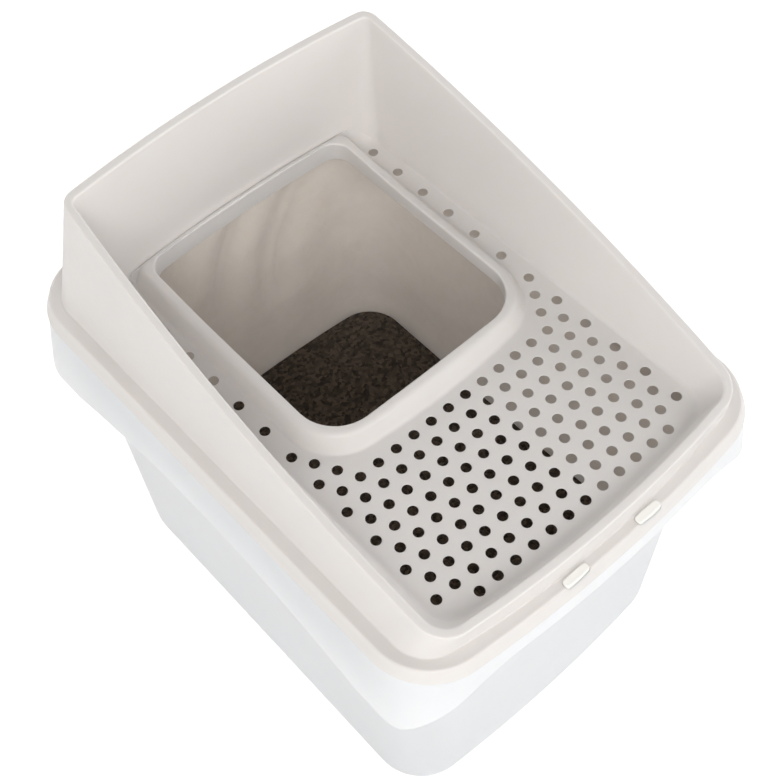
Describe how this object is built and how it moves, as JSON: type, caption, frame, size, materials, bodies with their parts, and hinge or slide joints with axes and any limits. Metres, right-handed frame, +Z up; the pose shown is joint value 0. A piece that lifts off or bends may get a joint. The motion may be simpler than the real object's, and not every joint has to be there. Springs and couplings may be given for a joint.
{
  "type": "top-entry litter box",
  "caption": "Tall litter box with a skirted bin and a hinged lid that has a sloping screen, a perforated deck and a raised rectangular top entry.",
  "frame": {"origin": "centre of the overall box's footprint, on the floor plane", "axes": "+X to the right, +Y to the back where the screen is tallest, +Z up"},
  "size_m": [0.392, 0.5252, 0.4832],
  "materials": {
    "white_plastic": "satin white moulded polypropylene",
    "grey_plastic": "satin warm grey moulded polypropylene",
    "clip_plastic": "satin warm white moulded plastic",
    "film": "thin translucent polyethylene film",
    "litter": "rough mineral granules"
  },
  "bodies": {
    "bin_body": {"bin": "white_plastic", "latch_tab_left": "clip_plastic", "latch_tab_right": "clip_plastic", "hinge_hook_left": "clip_plastic", "hinge_hook_right": "clip_plastic", "liner_bag": "film", "litter_bed": "litter"},
    "lid_body": {"lid": "grey_plastic"}
  },
  "joints": [
    {"name": "lid_hinge", "type": "hinge", "parent": "bin_body", "child": "lid_body", "pos_m": [0, 0.26175, 0.3306], "axis": [-1, 0, 0], "range_deg": [0, 100]}
  ]
}
